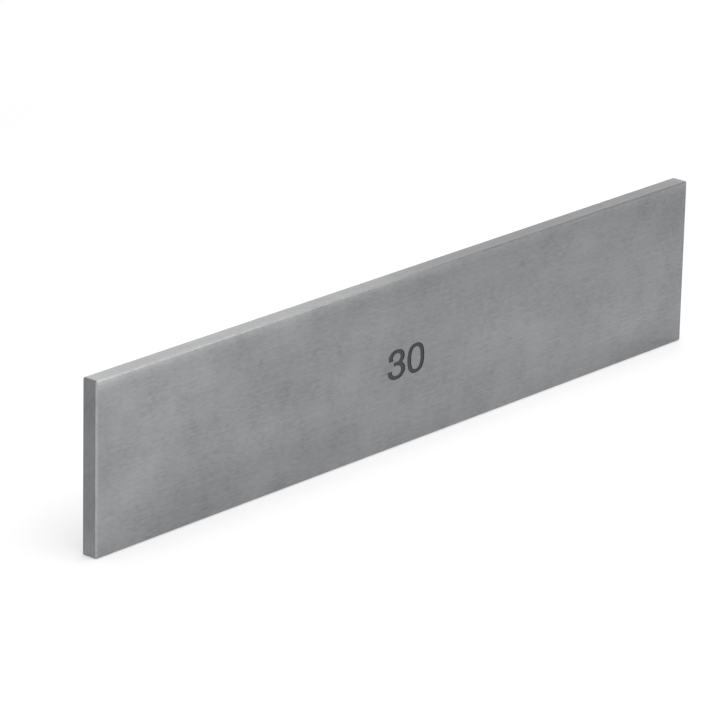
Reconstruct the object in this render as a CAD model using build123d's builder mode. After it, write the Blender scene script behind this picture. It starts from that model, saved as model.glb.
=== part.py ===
from build123d import *
import os

os.makedirs("parts", exist_ok=True)

# A precision parallel: one hardened and ground steel bar that packs up work in a vice.
# It stands on a long narrow edge, with its length along X, its thickness along Y and
# its height along Z. The origin is the middle of the bottom edge. All sizes are in mm.

# The bar
length = 150.0
height = 30.0
thickness = 3.2
edge_break = 0.25  # 45 degree break on every edge, so that no corner cuts or digs in

# The bar's height in plain digits, marked shallowly into the front face
number_depth = 0.1
number_shift = -0.71  # the number stands a little left of the middle of the face
number_drop = 0.1  # and a little below it
digit_height = 5.35
digit_pitch = 4.93  # from the middle of one digit to the middle of the next
level_stroke = 0.67  # width of a stroke where it runs level

# The digit 0
zero_width = 4.36
zero_stroke = 0.98  # width of its stroke where it runs upright
zero_fullness = 0.67  # how far an oval fills its corners: 0.55 is an ellipse, 1 a box

# The digit 3: two bowls, one on the other, that share their middle stroke
upper_bowl_width = 4.07
lower_bowl_width = 4.47
lower_bowl_height = 3.13
bowl_stroke = 1.09
bowl_fullness = 0.58
upper_end_height = 3.41  # how high above the digit's foot the upper stroke ends
lower_end_height = 1.68
tongue_reach = 0.71  # how far the middle stroke runs to the left of the digit's middle

front_face = Plane.XZ.offset(thickness / 2)
foot_level = height / 2 - number_drop - digit_height / 2
three_middle = number_shift - digit_pitch / 2
zero_middle = number_shift + digit_pitch / 2


# A closed oval of four like quarters. x is its middle and y its lowest point.
def oval(x, y, width, height, fullness, mode=Mode.ADD):
    across = width / 2
    upward = height / 2
    level = y + upward
    with BuildLine() as outline:
        for side, up in ((across, upward), (-across, upward), (-across, -upward), (across, -upward)):
            Bezier(
                (x + side, level),
                (x + side, level + fullness * up),
                (x + fullness * side, level + up),
                (x, level + up),
            )
    make_face(outline.edges(), mode=mode)


# A closed stroke along an oval, wider at its sides than at its top and bottom
def ring(x, y, width, height, side_stroke, fullness):
    oval(x, y, width, height, fullness)
    inner_width = width - 2 * side_stroke
    inner_height = height - 2 * level_stroke
    oval(x, y + level_stroke, inner_width, inner_height, fullness, mode=Mode.SUBTRACT)


# The digit 3, whose bowls are open on the left, with the tongue between their ends
def three(x, y):
    waist = y + lower_bowl_height - level_stroke
    ring(x, waist, upper_bowl_width, y + digit_height - waist, bowl_stroke, bowl_fullness)
    ring(x, y, lower_bowl_width, lower_bowl_height, bowl_stroke, bowl_fullness)
    with Locations((x, y + lower_end_height)):
        Rectangle(
            lower_bowl_width,
            upper_end_height - lower_end_height,
            align=(Align.MAX, Align.MIN),
            mode=Mode.SUBTRACT,
        )
    with Locations((x, waist)):
        Rectangle(tongue_reach, level_stroke, align=(Align.MAX, Align.MIN))


with BuildPart() as parallel_bar:
    with BuildSketch(Plane.XY):
        Rectangle(length, thickness)
    extrude(amount=height)
    chamfer(parallel_bar.edges(), length=edge_break)
    with BuildSketch(front_face):
        three(three_middle, foot_level)
        ring(zero_middle, foot_level, zero_width, digit_height, zero_stroke, zero_fullness)
    extrude(amount=-number_depth, mode=Mode.SUBTRACT)

parallel_bar.part.label = "parallel_bar"
export_step(parallel_bar.part, "parts/parallel_bar.step")
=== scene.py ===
import math

import bpy
from mathutils import Matrix, Vector


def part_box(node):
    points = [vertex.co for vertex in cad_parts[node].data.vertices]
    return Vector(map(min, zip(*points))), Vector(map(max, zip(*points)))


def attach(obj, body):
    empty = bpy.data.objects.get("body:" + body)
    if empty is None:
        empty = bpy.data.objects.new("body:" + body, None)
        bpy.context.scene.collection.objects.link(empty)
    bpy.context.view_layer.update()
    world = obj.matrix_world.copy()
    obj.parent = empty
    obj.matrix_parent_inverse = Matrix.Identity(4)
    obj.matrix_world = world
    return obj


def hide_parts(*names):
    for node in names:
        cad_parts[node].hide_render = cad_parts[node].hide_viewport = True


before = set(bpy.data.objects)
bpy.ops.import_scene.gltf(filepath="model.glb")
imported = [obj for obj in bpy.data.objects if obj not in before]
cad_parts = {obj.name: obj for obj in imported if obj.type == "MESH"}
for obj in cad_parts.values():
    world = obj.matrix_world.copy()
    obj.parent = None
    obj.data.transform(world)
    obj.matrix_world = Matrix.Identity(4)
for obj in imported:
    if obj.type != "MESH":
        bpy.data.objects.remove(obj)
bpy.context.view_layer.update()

mm = 0.001  # sizes below are in millimetres, the scene is in metres
barLow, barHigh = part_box("parallel_bar")
barMiddle = (barLow + barHigh) / 2
barSpan = barHigh - barLow
print("frame loaded, bar of", [round(side / mm, 2) for side in barSpan], "mm")


# adds a node; an input takes a number, a tuple, a socket, a node (its first output in use) or a list of those
def addNode(tree, kind, inputs=None, **settings):
    node = tree.nodes.new(kind)
    for name, value in settings.items():
        setattr(node, name, value)
    for name, value in (inputs or {}).items():
        if isinstance(name, int):
            target = node.inputs[name]
        else:
            target = next(socket for socket in node.inputs if socket.name == name and socket.enabled)
        for source in value if isinstance(value, list) else [value]:
            if isinstance(source, bpy.types.Node):
                source = next(socket for socket in source.outputs if socket.enabled)
            if isinstance(source, bpy.types.NodeSocket):
                tree.links.new(source, target)
            else:
                target.default_value = source
    return node


# a new material, and its node tree with nothing in it
def newMaterial(name):
    material = bpy.data.materials.new(name)
    material.use_nodes = True
    material.node_tree.nodes.clear()
    return material, material.node_tree


# an sRGB hex colour as linear red, green and blue, with a full alpha
def linearColour(hexText):
    shares = [int(hexText[at:at + 2], 16) / 255 for at in (1, 3, 5)]
    linear = [share / 12.92 if share <= 0.04045 else ((share + 0.055) / 1.055) ** 2.4 for share in shares]
    return (*linear, 1)


# the view: low over the bench, from the left end of the marked face
cameraSpot = {
    "azimuth": 48.85,  # degrees between the line of sight and +Y
    "elevation": 19.41,  # degrees over the bench
    "roll": 1.29,  # degrees
    "distance": 830.0,  # mm to the middle of the bar
    "aside": 7.05,  # mm by which the middle of the bar stands right of the picture's middle
    "above": 0.47,  # mm by which it stands above it
    "lens": 246.2,  # mm
}


def placeCamera(spot):
    azimuth, elevation, roll = (math.radians(spot[name]) for name in ("azimuth", "elevation", "roll"))
    forward = Vector((
        math.sin(azimuth) * math.cos(elevation),
        math.cos(azimuth) * math.cos(elevation),
        -math.sin(elevation),
    ))
    level = forward.cross(Vector((0, 0, 1))).normalized()
    upright = level.cross(forward)
    right = level * math.cos(roll) + upright * math.sin(roll)
    up = upright * math.cos(roll) - level * math.sin(roll)
    place = barMiddle - (right * spot["aside"] + up * spot["above"] + forward * spot["distance"]) * mm
    data = bpy.data.cameras.new("camera")
    data.lens = spot["lens"]
    camera = bpy.data.objects.new("camera", data)
    camera.matrix_world = Matrix.Translation(place) @ Matrix((right, up, -forward)).transposed().to_4x4()
    bpy.context.scene.collection.objects.link(camera)
    bpy.context.scene.camera = camera


placeCamera(cameraSpot)
print("camera placed")

edgeBreak = 0.25  # mm, of the 45 degree break on every edge

# what grinding and handling leave on the steel, with the painted highlight on its rims and the painted floor
# reflection at its foot: marks so many mm long along the wheel's travel and so many across it, how much of
# the tone each takes, how many times its noise breaks up finer, and where it starts;
# real scratches are about 0.02 mm wide, so grain and lines are drawn some twenty times as coarse to show
steelMarks = {
    "grain": {"length": 1.3, "width": 0.38, "share": 0.46, "detail": 3.0, "start": 0},
    "lines": {"length": 14.0, "width": 0.4, "share": 0.24, "detail": 3.0, "start": 0},
    "patches": {"length": 4.0, "width": 7.0, "share": 0.23, "detail": 2.0, "start": 0},
    "clouds": {"length": 20.0, "width": 10.0, "share": 0.34, "detail": 1.0, "start": 5420},
    "wear": {"length": 50.0, "width": 20.0, "share": 0.5, "detail": 1.0, "start": 1119},
    "flecks": {"length": 1.4, "width": 0.5, "share": 0.045, "detail": 3.0, "start": 0},
    "fleckNoise": (0.6, 0.68),  # where its noise makes a fleck begin and darkest, so that flecks are sparse
    "fleckClouds": (0.55, 0.45),  # the clouds in which flecks begin, and the darker ones that have them all
    "patchNoise": (0.35, 0.65),  # from the darkest to the lightest patch
    "cloudNoise": (0.3, 0.7),  # from the darkest to the lightest cloud
    "unevenness": 0.68,  # how much stronger the grain is in darker patches, 0.5 for no difference
    "relief": 0.0005,  # mm, how deep the lines are cut
    "dulling": 0.04,  # by how much the clouds change the roughness
    "rimWidth": 2.2,  # mm, the rims beside the edge breaks, where stoning and handling polished the face, and where the top and right rims also carry a painted highlight
    "rimPolishAndHighlight": {  # how much lighter a rim is, at its axis's low side and at its high side: partly polish, and a painted highlight where the high side is lighter than the low
        "X": (0.0, 0.05), "Y": (0.11, 0.11), "Z": (0.0, 0.24),
    },
    "rimFall": {"X": 0.06, "Y": 0.0, "Z": 0.06},  # mm by which the face falls away across a rim
    "footReflectionHeight": 9.0,  # mm over which a finish gets lighter towards the foot, where it does, as a painted reflection of the white floor
}
# a finish has rims at the sides named, lines along one axis, and may be lighter by a share at the foot, where
# a reflection of the white floor is painted
steelLooks = {
    "wideFace": {
        "name": "surfaceGroundSteel", "rims": "XZ", "along": "x",
        "colour": "#87888a", "roughness": 0.32, "foot": 0.0,
    },
    "narrowEdge": {
        "name": "fineGroundSteel", "rims": "XY", "along": "x",
        "colour": "#848587", "roughness": 0.2, "foot": 0.0,
    },
    # the end's darker colour is partly its rougher cross grinding and partly painted shade
    "end": {
        "name": "crossGroundSteelPaintedShade", "rims": "", "along": "z",
        "colour": "#77787a", "roughness": 0.36, "foot": 0.35,
    },
    "longBreak": {
        "name": "groundEdgeBreak", "rims": "", "along": "x",
        "colour": "#8e8e8f", "roughness": 0.2, "foot": 0.0,
    },
    # the upright breaks' lighter colour is a painted highlight
    "uprightBreak": {
        "name": "stonedEdgeBreakPaintedHighlight", "rims": "", "along": "z",
        "colour": "#9e9fa2", "roughness": 0.36, "foot": 0.0,
    },
}


# 1 where a distance is at its start, and from there ever more slowly down to 0 at its end
def addFade(tree, distance, start, end):
    left = addNode(tree, "ShaderNodeMapRange", {
        "Value": distance, "From Min": start, "From Max": end, "To Min": 1.0, "To Max": 0.0,
    })
    return addNode(tree, "ShaderNodeMath", {0: left, 1: 2.0}, operation="POWER")


# hardened steel off a surface grinder: satin grey, its straight lines spread each highlight across themselves
def groundSteel(look, marks):
    material, tree = newMaterial(look["name"])
    place = addNode(tree, "ShaderNodeTexCoord").outputs["Object"]
    toneLayers = ("grain", "lines", "patches", "clouds", "wear")
    layers = {}
    for name in toneLayers + ("flecks",):
        stretch = [1 / (marks[name]["width"] * mm)] * 3
        stretch["xyz".index(look["along"])] = 1 / (marks[name]["length"] * mm)
        spread = addNode(tree, "ShaderNodeMapping", {
            "Vector": place, "Scale": tuple(stretch), "Location": (0, marks[name]["start"], 0),
        })
        layers[name] = addNode(tree, "ShaderNodeTexNoise", {
            "Vector": spread, "Scale": 1.0, "Detail": marks[name]["detail"], "Roughness": 0.6,
        })
    # each layer lifts or lowers the tone around 1, and the grain does so unevenly, as the wheel cut it
    uneven = addNode(tree, "ShaderNodeMapRange", {
        "Value": layers["patches"],
        "From Min": marks["patchNoise"][0],
        "From Max": marks["patchNoise"][1],
        "To Min": 2 * marks["unevenness"],
        "To Max": 2 * (1 - marks["unevenness"]),
    })
    tone = 1.0
    for name in toneLayers:
        around = addNode(tree, "ShaderNodeMath", {0: layers[name], 1: 0.5}, operation="SUBTRACT")
        if name == "grain":
            around = addNode(tree, "ShaderNodeMath", {0: around, 1: uneven}, operation="MULTIPLY")
        tone = addNode(tree, "ShaderNodeMath", {
            0: around, 1: marks[name]["share"], 2: tone,
        }, operation="MULTIPLY_ADD")
    spots = addNode(tree, "ShaderNodeMapRange", {
        "Value": layers["flecks"],
        "From Min": marks["fleckNoise"][0],
        "From Max": marks["fleckNoise"][1],
    })
    inClouds = addNode(tree, "ShaderNodeMapRange", {
        "Value": layers["clouds"],
        "From Min": marks["fleckClouds"][0],
        "From Max": marks["fleckClouds"][1],
    })
    fleck = addNode(tree, "ShaderNodeMath", {0: spots, 1: inClouds}, operation="MULTIPLY")
    tone = addNode(tree, "ShaderNodeMath", {
        0: fleck, 1: -marks["flecks"]["share"], 2: tone,
    }, operation="MULTIPLY_ADD")
    # how deep a point lies inside each pair of the bar's sides, for the rims along them
    fromMiddle = addNode(tree, "ShaderNodeVectorMath", {0: place, 1: barMiddle}, operation="SUBTRACT")
    sideways = addNode(tree, "ShaderNodeVectorMath", {0: fromMiddle}, operation="ABSOLUTE")
    inside = addNode(tree, "ShaderNodeVectorMath", {0: barSpan / 2, 1: sideways}, operation="SUBTRACT")
    depths = addNode(tree, "ShaderNodeSeparateXYZ", {"Vector": inside}).outputs
    places = addNode(tree, "ShaderNodeSeparateXYZ", {"Vector": place}).outputs
    height = addNode(tree, "ShaderNodeMath", {0: layers["lines"], 1: marks["relief"]}, operation="MULTIPLY")
    for axis in look["rims"]:
        rim = addFade(tree, depths[axis], edgeBreak * mm, (edgeBreak + marks["rimWidth"]) * mm)
        height = addNode(tree, "ShaderNodeMath", {
            0: rim, 1: -marks["rimFall"][axis], 2: height,
        }, operation="MULTIPLY_ADD")
        share = addNode(tree, "ShaderNodeMapRange", {
            "Value": places[axis],
            "From Min": barLow["XYZ".index(axis)],
            "From Max": barHigh["XYZ".index(axis)],
            "To Min": marks["rimPolishAndHighlight"][axis][0],
            "To Max": marks["rimPolishAndHighlight"][axis][1],
        })
        # a rim is lighter for its polish, and the top and right rims more so as a painted highlight
        polishAndHighlight = addNode(tree, "ShaderNodeMath", {0: rim, 1: share, 2: 1.0}, operation="MULTIPLY_ADD")
        tone = addNode(tree, "ShaderNodeMath", {0: tone, 1: polishAndHighlight}, operation="MULTIPLY")
    # painted reflection of the white floor: lighter towards the foot by the finish's share
    low = addFade(tree, places["Z"], barLow.z, barLow.z + marks["footReflectionHeight"] * mm)
    paintedFloorReflection = addNode(tree, "ShaderNodeMath", {0: low, 1: look["foot"], 2: 1.0}, operation="MULTIPLY_ADD")
    tone = addNode(tree, "ShaderNodeMath", {0: tone, 1: paintedFloorReflection}, operation="MULTIPLY")
    tinted = addNode(tree, "ShaderNodeVectorMath", {
        0: linearColour(look["colour"])[:3], "Scale": tone,
    }, operation="SCALE")
    rough = addNode(tree, "ShaderNodeMapRange", {
        "Value": layers["clouds"],
        "From Min": marks["cloudNoise"][0],
        "From Max": marks["cloudNoise"][1],
        "To Min": look["roughness"] - marks["dulling"],
        "To Max": look["roughness"] + marks["dulling"],
    })
    relief = addNode(tree, "ShaderNodeBump", {"Strength": 1.0, "Distance": mm, "Height": height})
    tangent = addNode(tree, "ShaderNodeTangent", direction_type="UV_MAP", uv_map="grindingLines")
    steel = addNode(tree, "ShaderNodeBsdfPrincipled", {
        "Base Color": tinted,
        "Metallic": 1.0,
        "Roughness": rough,
        "Normal": relief,
        "Tangent": tangent,
        "Anisotropic": 0.5,
        "Anisotropic Rotation": 0.25,  # a quarter turn, from along the lines to across them
    })
    addNode(tree, "ShaderNodeOutputMaterial", {"Surface": steel})
    return material


marking = {
    "name": "blackenedMarking",
    "colour": "#2c2e30",
    "roughness": 0.6,
    "roughnessReach": 0.1,  # up and down, with the grain
    "grainSize": 0.35,  # mm
    "grainShare": 0.5,
}


# blackened steel: the dull dark scale that marking leaves, finely mottled
def blackenedSteel(look):
    material, tree = newMaterial(look["name"])
    grain = addNode(tree, "ShaderNodeTexNoise", {
        "Vector": addNode(tree, "ShaderNodeTexCoord").outputs["Object"],
        "Scale": 1 / (look["grainSize"] * mm),
        "Detail": 2.0,
    })
    tone = addNode(tree, "ShaderNodeMath", {
        0: grain, 1: look["grainShare"], 2: 1 - look["grainShare"] / 2,
    }, operation="MULTIPLY_ADD")
    tinted = addNode(tree, "ShaderNodeVectorMath", {
        0: linearColour(look["colour"])[:3], "Scale": tone,
    }, operation="SCALE")
    rough = addNode(tree, "ShaderNodeMapRange", {
        "Value": grain,
        "To Min": look["roughness"] - look["roughnessReach"],
        "To Max": look["roughness"] + look["roughnessReach"],
    })
    scale = addNode(tree, "ShaderNodeBsdfPrincipled", {"Base Color": tinted, "Roughness": rough})
    addNode(tree, "ShaderNodeOutputMaterial", {"Surface": scale})
    return material


finishes = {part: groundSteel(look, steelMarks) for part, look in steelLooks.items()}
finishes["marking"] = blackenedSteel(marking)
print("finishes made:", ", ".join(material.name for material in finishes.values()))

barSizes = {
    "Length": barSpan.x / mm,
    "Thickness": barSpan.y / mm,
    "Height": barSpan.z / mm,
    "Edge break": edgeBreak,
    "Edge softness": 0.05,  # radius where an edge break meets a ground face
    "Number depth": 0.1,
    "Number shift": -0.71,
    "Number drop": 0.1,
    "Digit height": 5.35,
    "Digit pitch": 4.93,
    "Level stroke": 0.67,
    "Zero width": 4.36,
    "Zero stroke": 0.98,
    "Zero fullness": 0.67,
    "Upper bowl width": 4.07,
    "Lower bowl width": 4.47,
    "Lower bowl height": 3.13,
    "Bowl stroke": 1.09,
    "Bowl fullness": 0.58,
    "Upper end height": 3.41,
    "Lower end height": 1.68,
    "Tongue reach": 0.71,
}
numberLabels = (
    "Number depth", "Digit height", "Digit pitch", "Level stroke",
    "Zero width", "Zero stroke", "Zero fullness",
    "Upper bowl width", "Lower bowl width", "Lower bowl height", "Bowl stroke", "Bowl fullness",
    "Upper end height", "Lower end height", "Tongue reach",
)
seamGap = 0.0001  # points of an outline or a shell that are nearer to each other than this are one


def newTree(name, labels):
    tree = bpy.data.node_groups.new(name, "GeometryNodeTree")
    tree.interface.new_socket("Geometry", in_out="OUTPUT", socket_type="NodeSocketGeometry")
    for label in labels:
        tree.interface.new_socket(label, in_out="INPUT", socket_type="NodeSocketFloat")
    return tree, addNode(tree, "NodeGroupInput").outputs


# the closed outline of an oval around the origin: one quarter of unit size, mirrored to the side and down
def ovalTree():
    tree, given = newTree("ovalOutline", ("Width", "Height", "Fullness"))
    pull = addNode(tree, "ShaderNodeMath", {0: given["Fullness"], 1: 0.5}, operation="MULTIPLY")
    line = addNode(tree, "GeometryNodeCurvePrimitiveBezierSegment", {
        "Resolution": 24,
        "Start": (0.5, 0, 0),
        "Start Handle": addNode(tree, "ShaderNodeCombineXYZ", {"X": 0.5, "Y": pull}),
        "End Handle": addNode(tree, "ShaderNodeCombineXYZ", {"X": pull, "Y": 0.5}),
        "End": (0, 0.5, 0),
    })
    part = addNode(tree, "GeometryNodeCurveToMesh", {"Curve": line})
    for flip in ((-1, 1, 1), (1, -1, 1)):
        mirrored = addNode(tree, "GeometryNodeTransform", {"Geometry": part, "Scale": flip})
        part = addNode(tree, "GeometryNodeJoinGeometry", {"Geometry": [part, mirrored]})
    closed = addNode(tree, "GeometryNodeMergeByDistance", {"Geometry": part, "Distance": seamGap})
    size = addNode(tree, "ShaderNodeCombineXYZ", {"X": given["Width"], "Y": given["Height"], "Z": 1.0})
    sized = addNode(tree, "GeometryNodeTransform", {
        "Geometry": addNode(tree, "GeometryNodeMeshToCurve", {"Mesh": closed}), "Scale": size,
    })
    addNode(tree, "NodeGroupOutput", {0: sized})
    return tree


# a closed stroke along an oval, wider at its sides than at its top and bottom, as a solid of even thickness
def ringTree(oval):
    tree, given = newTree("ringStroke", (
        "Width", "Height", "Side stroke", "Level stroke", "Fullness", "Thickness",
    ))
    innerWidth = addNode(tree, "ShaderNodeMath", {
        0: given["Side stroke"], 1: -2.0, 2: given["Width"],
    }, operation="MULTIPLY_ADD")
    innerHeight = addNode(tree, "ShaderNodeMath", {
        0: given["Level stroke"], 1: -2.0, 2: given["Height"],
    }, operation="MULTIPLY_ADD")
    outlines = [
        addNode(tree, "GeometryNodeGroup", {
            "Width": width, "Height": height, "Fullness": given["Fullness"],
        }, node_tree=oval)
        for width, height in ((given["Width"], given["Height"]), (innerWidth, innerHeight))
    ]
    both = addNode(tree, "GeometryNodeJoinGeometry", {"Geometry": outlines})
    flat = addNode(tree, "GeometryNodeFillCurve", {"Curve": both})
    raised = addNode(tree, "GeometryNodeExtrudeMesh", {
        "Mesh": flat, "Offset Scale": given["Thickness"], "Individual": False,
    })
    under = addNode(tree, "GeometryNodeFlipFaces", {"Mesh": flat})
    shell = addNode(tree, "GeometryNodeJoinGeometry", {"Geometry": [raised, under]})
    addNode(tree, "NodeGroupOutput", {
        0: addNode(tree, "GeometryNodeMergeByDistance", {"Geometry": shell, "Distance": seamGap}),
    })
    return tree


# the digits 3 and 0 as one cutter, flat around the number's middle and twice as thick as the cut is deep
def numberTree(ring):
    tree, given = newTree("numberCutter", numberLabels)
    thick = addNode(tree, "ShaderNodeMath", {0: given["Number depth"], 1: 2.0}, operation="MULTIPLY")
    halfPitch = addNode(tree, "ShaderNodeMath", {0: given["Digit pitch"], 1: 0.5}, operation="MULTIPLY")
    threeMiddle = addNode(tree, "ShaderNodeMath", {0: halfPitch, 1: -1.0}, operation="MULTIPLY")
    foot = addNode(tree, "ShaderNodeMath", {0: given["Digit height"], 1: -0.5}, operation="MULTIPLY")
    waist = addNode(tree, "ShaderNodeMath", {
        0: given["Lower bowl height"], 1: given["Level stroke"],
    }, operation="SUBTRACT")
    upperHeight = addNode(tree, "ShaderNodeMath", {0: given["Digit height"], 1: waist}, operation="SUBTRACT")
    bowls = []
    for width, height, low in (
        (given["Upper bowl width"], upperHeight, waist),
        (given["Lower bowl width"], given["Lower bowl height"], 0.0),
    ):
        bowl = addNode(tree, "GeometryNodeGroup", {
            "Width": width, "Height": height, "Side stroke": given["Bowl stroke"],
            "Level stroke": given["Level stroke"], "Fullness": given["Bowl fullness"], "Thickness": thick,
        }, node_tree=ring)
        level = addNode(tree, "ShaderNodeMath", {0: height, 1: 0.5, 2: low}, operation="MULTIPLY_ADD")
        bowls.append(addNode(tree, "GeometryNodeTransform", {
            "Geometry": bowl, "Translation": addNode(tree, "ShaderNodeCombineXYZ", {"Y": level}),
        }))
    # the gap on the left of the bowls, cut well through them, and the tongue that runs into it
    gapTall = addNode(tree, "ShaderNodeMath", {
        0: given["Upper end height"], 1: given["Lower end height"],
    }, operation="SUBTRACT")
    blocks = []
    for width, height, low, times in (
        (given["Lower bowl width"], gapTall, given["Lower end height"], 4.0),
        (given["Tongue reach"], given["Level stroke"], waist, 1.0),
    ):
        deep = addNode(tree, "ShaderNodeMath", {0: thick, 1: times}, operation="MULTIPLY")
        size = addNode(tree, "ShaderNodeCombineXYZ", {"X": width, "Y": height, "Z": deep})
        aside = addNode(tree, "ShaderNodeMath", {0: width, 1: -0.5}, operation="MULTIPLY")
        level = addNode(tree, "ShaderNodeMath", {0: height, 1: 0.5, 2: low}, operation="MULTIPLY_ADD")
        halfway = addNode(tree, "ShaderNodeCombineXYZ", {"X": aside, "Y": level, "Z": given["Number depth"]})
        blocks.append(addNode(tree, "GeometryNodeTransform", {
            "Geometry": addNode(tree, "GeometryNodeMeshCube", {"Size": size}), "Translation": halfway,
        }))
    opened = addNode(tree, "GeometryNodeMeshBoolean", {
        "Mesh 1": addNode(tree, "GeometryNodeJoinGeometry", {"Geometry": bowls}),
        "Mesh 2": blocks[0],
        "Self Intersection": True,
    }, operation="DIFFERENCE", solver="EXACT")
    three = addNode(tree, "GeometryNodeMeshBoolean", {
        1: [opened, blocks[1]], "Self Intersection": True,
    }, operation="UNION", solver="EXACT")
    zero = addNode(tree, "GeometryNodeGroup", {
        "Width": given["Zero width"], "Height": given["Digit height"], "Side stroke": given["Zero stroke"],
        "Level stroke": given["Level stroke"], "Fullness": given["Zero fullness"], "Thickness": thick,
    }, node_tree=ring)
    threePlace = addNode(tree, "ShaderNodeCombineXYZ", {"X": threeMiddle, "Y": foot})
    zeroPlace = addNode(tree, "ShaderNodeCombineXYZ", {"X": halfPitch})
    digits = addNode(tree, "GeometryNodeJoinGeometry", {"Geometry": [
        addNode(tree, "GeometryNodeTransform", {"Geometry": three, "Translation": threePlace}),
        addNode(tree, "GeometryNodeTransform", {"Geometry": zero, "Translation": zeroPlace}),
    ]})
    addNode(tree, "NodeGroupOutput", {0: digits})
    return tree


# the bar: the hull of a small ball at each corner of its edge breaks, with the number cut into the front
def barTree(number, finishes):
    tree, given = newTree("groundBar", barSizes)
    whole = addNode(tree, "ShaderNodeCombineXYZ", {
        "X": given["Length"], "Y": given["Thickness"], "Z": given["Height"],
    })
    inner = addNode(tree, "ShaderNodeVectorMath", {
        0: given["Edge softness"], 1: (-2, -2, -2), 2: whole,
    }, operation="MULTIPLY_ADD")
    # the break's leg between the balls' middles, so that the balls touch its slope as well as the faces
    softLeg = addNode(tree, "ShaderNodeMath", {
        0: given["Edge softness"], 1: math.sqrt(2) - 2, 2: given["Edge break"],
    }, operation="MULTIPLY_ADD")
    boxes = []
    for axis in range(3):
        cut = tuple(0 if at == axis else -2 for at in range(3))
        size = addNode(tree, "ShaderNodeVectorMath", {0: softLeg, 1: cut, 2: inner}, operation="MULTIPLY_ADD")
        boxes.append(addNode(tree, "GeometryNodeMeshCube", {"Size": size}))
    corners = addNode(tree, "GeometryNodeInstanceOnPoints", {
        "Points": addNode(tree, "GeometryNodeJoinGeometry", {"Geometry": boxes}),
        "Instance": addNode(tree, "GeometryNodeMeshUVSphere", {
            "Segments": 16, "Rings": 8, "Radius": given["Edge softness"],
        }),
    })
    hull = addNode(tree, "GeometryNodeConvexHull", {
        "Geometry": addNode(tree, "GeometryNodeRealizeInstances", {"Geometry": corners}),
    })
    halfHeight = addNode(tree, "ShaderNodeMath", {0: given["Height"], 1: 0.5}, operation="MULTIPLY")
    block = addNode(tree, "GeometryNodeTransform", {
        "Geometry": hull, "Translation": addNode(tree, "ShaderNodeCombineXYZ", {"Z": halfHeight}),
    })
    # the cutter stands up to face -Y, half of it proud of the front face
    front = addNode(tree, "ShaderNodeMath", {0: given["Thickness"], 1: -0.5}, operation="MULTIPLY")
    floorLevel = addNode(tree, "ShaderNodeMath", {0: front, 1: given["Number depth"]}, operation="ADD")
    numberLevel = addNode(tree, "ShaderNodeMath", {
        0: halfHeight, 1: given["Number drop"],
    }, operation="SUBTRACT")
    digits = addNode(tree, "GeometryNodeGroup", {
        label: given[label] for label in numberLabels
    }, node_tree=number)
    numberPlace = addNode(tree, "ShaderNodeCombineXYZ", {
        "X": given["Number shift"], "Y": floorLevel, "Z": numberLevel,
    })
    cutter = addNode(tree, "GeometryNodeTransform", {
        "Geometry": digits, "Rotation": (math.pi / 2, 0, 0), "Translation": numberPlace,
    })
    marked = addNode(tree, "GeometryNodeMeshBoolean", {
        "Mesh 1": block, "Mesh 2": cutter,
    }, operation="DIFFERENCE", solver="EXACT")
    scaled = addNode(tree, "GeometryNodeTransform", {"Geometry": marked, "Scale": (mm, mm, mm)})
    place = addNode(tree, "ShaderNodeVectorMath", {
        0: addNode(tree, "GeometryNodeInputPosition"), "Scale": 1 / mm,
    }, operation="SCALE")
    at = addNode(tree, "ShaderNodeSeparateXYZ", {"Vector": place}).outputs
    sides = addNode(tree, "ShaderNodeVectorMath", {
        0: addNode(tree, "GeometryNodeInputNormal"),
    }, operation="ABSOLUTE")
    facing = addNode(tree, "ShaderNodeSeparateXYZ", {"Vector": sides}).outputs
    # a map in mm whose first axis runs along the grinding lines, which are upright on what faces an end
    acrossBar = addNode(tree, "ShaderNodeMath", {0: at["Y"], 1: at["Z"]}, operation="ADD")
    acrossEnd = addNode(tree, "ShaderNodeMath", {0: at["Y"], 1: at["X"]}, operation="ADD")
    lineMap = addNode(tree, "ShaderNodeMix", {
        "Factor": addNode(tree, "ShaderNodeMath", {0: facing["X"], 1: 0.3}, operation="GREATER_THAN"),
        "A": addNode(tree, "ShaderNodeCombineXYZ", {"X": at["X"], "Y": acrossBar}),
        "B": addNode(tree, "ShaderNodeCombineXYZ", {"X": at["Z"], "Y": acrossEnd}),
    }, data_type="VECTOR")
    mapped = addNode(tree, "GeometryNodeStoreNamedAttribute", {
        "Geometry": scaled, "Name": "grindingLines", "Value": lineMap,
    }, data_type="FLOAT2", domain="CORNER")
    # the number's faces are those near its middle that lie 0.15 to 1.35 of its depth below the front face
    numberMiddle = addNode(tree, "ShaderNodeCombineXYZ", {
        "X": given["Number shift"], "Y": front, "Z": numberLevel,
    })
    reach = addNode(tree, "ShaderNodeVectorMath", {0: place, 1: numberMiddle}, operation="DISTANCE")
    near = addNode(tree, "ShaderNodeMath", {0: reach, 1: given["Digit height"]}, operation="LESS_THAN")
    below = addNode(tree, "ShaderNodeMath", {0: at["Y"], 1: front}, operation="SUBTRACT")
    depths = addNode(tree, "ShaderNodeMath", {0: below, 1: given["Number depth"]}, operation="DIVIDE")
    sunk = addNode(tree, "ShaderNodeMath", {0: depths, 1: 0.75, 2: 0.6}, operation="COMPARE")
    inNumber = addNode(tree, "ShaderNodeMath", {0: near, 1: sunk}, operation="MULTIPLY")
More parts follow.
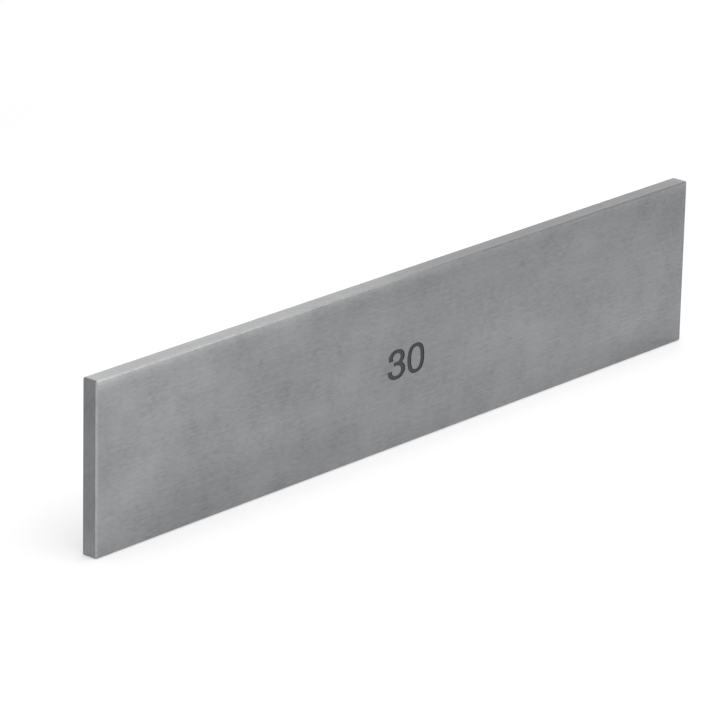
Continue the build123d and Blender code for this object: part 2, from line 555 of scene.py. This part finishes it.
    # the other faces take their finish from the way they face, the edge breaks first
    limits = {"LESS_THAN": 0.1, "GREATER_THAN": 0.99}  # hardly along an axis, or straight along it
    dressed = addNode(tree, "GeometryNodeRealizeInstances", {"Geometry": mapped})
    dressed = addNode(tree, "GeometryNodeSetMaterial", {
        "Geometry": dressed, "Material": finishes["uprightBreak"],
    })
    for finish, axis, comparison in (
        ("longBreak", "X", "LESS_THAN"),
        ("end", "Y", "LESS_THAN"),
        ("wideFace", "Y", "GREATER_THAN"),
        ("narrowEdge", "Z", "GREATER_THAN"),
        ("end", "X", "GREATER_THAN"),
    ):
        turned = addNode(tree, "ShaderNodeMath", {
            0: facing[axis], 1: limits[comparison],
        }, operation=comparison)
        dressed = addNode(tree, "GeometryNodeSetMaterial", {
            "Geometry": dressed, "Selection": turned, "Material": finishes[finish],
        })
    dressed = addNode(tree, "GeometryNodeSetMaterial", {
        "Geometry": dressed, "Selection": inNumber, "Material": finishes["marking"],
    })
    addNode(tree, "NodeGroupOutput", {0: dressed})
    return tree


# makes a tree's result a plain mesh object that stands at the origin
def pieceFromTree(name, tree, sizes):
    piece = bpy.data.objects.new(name, bpy.data.meshes.new(name))
    bpy.context.scene.collection.objects.link(piece)
    modifier = piece.modifiers.new(name, "NODES")
    modifier.node_group = tree
    for socket in tree.interface.items_tree:
        if socket.in_out == "INPUT":
            modifier[socket.identifier] = float(sizes[socket.name])
    shaped = piece.evaluated_get(bpy.context.evaluated_depsgraph_get())
    mesh = bpy.data.meshes.new_from_object(shaped)
    piece.modifiers.remove(modifier)
    if mesh.materials[0] is None:  # the slot of the tree's shapes before they get their finishes
        mesh.materials.pop(index=0)
    piece.data = mesh
    return piece


groundBar = pieceFromTree("groundBar", barTree(numberTree(ringTree(ovalTree())), finishes), barSizes)
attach(groundBar, "root")
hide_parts("parallel_bar")
print("bar made,", len(groundBar.data.polygons), "faces,", groundBar.data.materials.keys())

studio = {
    "floorColour": "#e6e6e6",
    # light that the floor adds for the eye and for reflections, near the bar and, up to paper white, far off
    "floorLift": {"from": 200.0, "to": 700.0, "near": 0.34, "far": 0.64},  # from and to in mm from the middle
    "floorSize": 6000.0,  # mm
    "floorGap": 0.01,  # mm under the bar's foot, so that the two never share a plane
    "roomLight": 0.45,
    "lamps": {  # place, aim and size in mm, power in watts, and the back lamp's light a little warm
        "overheadBox": {
            "place": (18, -44, 410), "aim": (-29, 100, 0), "size": (565, 450),
            "power": 1.19, "colour": "#ffffff",
        },
        "backBox": {
            "place": (324, 358, 326), "aim": (0, 0, 30), "size": (141, 260),
            "power": 0.077, "colour": "#fffff6",
        },
        "sideBox": {
            "place": (18, -150, 30), "aim": (-30, 0, 15), "size": (112, 60),
            "power": 0.044, "colour": "#ffffff",
        },
        "frontBox": {
            "place": (-400, -450, 60), "aim": (-75, 0, 15), "size": (200, 110),
            "power": 0.2, "colour": "#ffffff",
        },
    },
}


# 1 for what the camera and the reflections see, 0 for what lights the matt surfaces
def addSeen(tree):
    rays = addNode(tree, "ShaderNodeLightPath").outputs
    seen = addNode(tree, "ShaderNodeMath", {
        0: rays["Is Camera Ray"], 1: rays["Is Glossy Ray"],
    }, operation="MAXIMUM")
    return addNode(tree, "ShaderNodeMath", {0: seen, 1: rays["Is Transmission Ray"]}, operation="MAXIMUM")


# painted bench: matt, near white, lifted to paper white where nothing shades it, and more so beyond the lamps
def paintedBench(colour, lift):
    material, tree = newMaterial("mattWhitePaint")
    paint = addNode(tree, "ShaderNodeBsdfDiffuse", {"Color": linearColour(colour)})
    away = addNode(tree, "ShaderNodeVectorMath", {
        0: addNode(tree, "ShaderNodeTexCoord").outputs["Object"],
    }, operation="LENGTH")
    lifted = addNode(tree, "ShaderNodeMapRange", {
        "Value": away,
        "From Min": lift["from"] * mm,
        "From Max": lift["to"] * mm,
        "To Min": lift["near"],
        "To Max": lift["far"],
    })
    strength = addNode(tree, "ShaderNodeMath", {0: addSeen(tree), 1: lifted}, operation="MULTIPLY")
    glow = addNode(tree, "ShaderNodeEmission", {"Color": (1, 1, 1, 1), "Strength": strength})
    both = addNode(tree, "ShaderNodeAddShader", {0: paint, 1: glow})
    addNode(tree, "ShaderNodeOutputMaterial", {"Surface": both})
    return material


def makeFloor(setting):
    reach = setting["floorSize"] / 2 * mm
    level = barLow.z - setting["floorGap"] * mm
    corners = [(-reach, -reach, level), (reach, -reach, level), (reach, reach, level), (-reach, reach, level)]
    mesh = bpy.data.meshes.new("benchTop")
    mesh.from_pydata(corners, [], [(0, 1, 2, 3)])
    mesh.materials.append(paintedBench(setting["floorColour"], setting["floorLift"]))
    floor = bpy.data.objects.new("benchTop", mesh)
    bpy.context.scene.collection.objects.link(floor)


def makeWorld(setting):
    world = bpy.data.worlds.new("room")
    world.use_nodes = True
    tree = world.node_tree
    tree.nodes.clear()
    strength = addNode(tree, "ShaderNodeMapRange", {
        "Value": addSeen(tree), "To Min": setting["roomLight"], "To Max": 1.0,
    })
    room = addNode(tree, "ShaderNodeBackground", {"Color": (1, 1, 1, 1), "Strength": strength})
    addNode(tree, "ShaderNodeOutputWorld", {"Surface": room})
    bpy.context.scene.world = world


def makeLamps(lamps):
    for name, lamp in lamps.items():
        light = bpy.data.lights.new(name, "AREA")
        light.shape = "RECTANGLE"
        light.size, light.size_y = (side * mm for side in lamp["size"])
        light.energy = lamp["power"]
        light.color = linearColour(lamp["colour"])[:3]
        holder = bpy.data.objects.new(name, light)
        place = Vector(lamp["place"])
        holder.location = place * mm
        holder.rotation_euler = (Vector(lamp["aim"]) - place).to_track_quat("-Z", "Y").to_euler()
        holder.visible_camera = False
        bpy.context.scene.collection.objects.link(holder)


makeFloor(studio)
makeWorld(studio)
makeLamps(studio["lamps"])
bpy.context.scene.view_settings.view_transform = "Standard"
print("studio made:", ", ".join(studio["lamps"]))
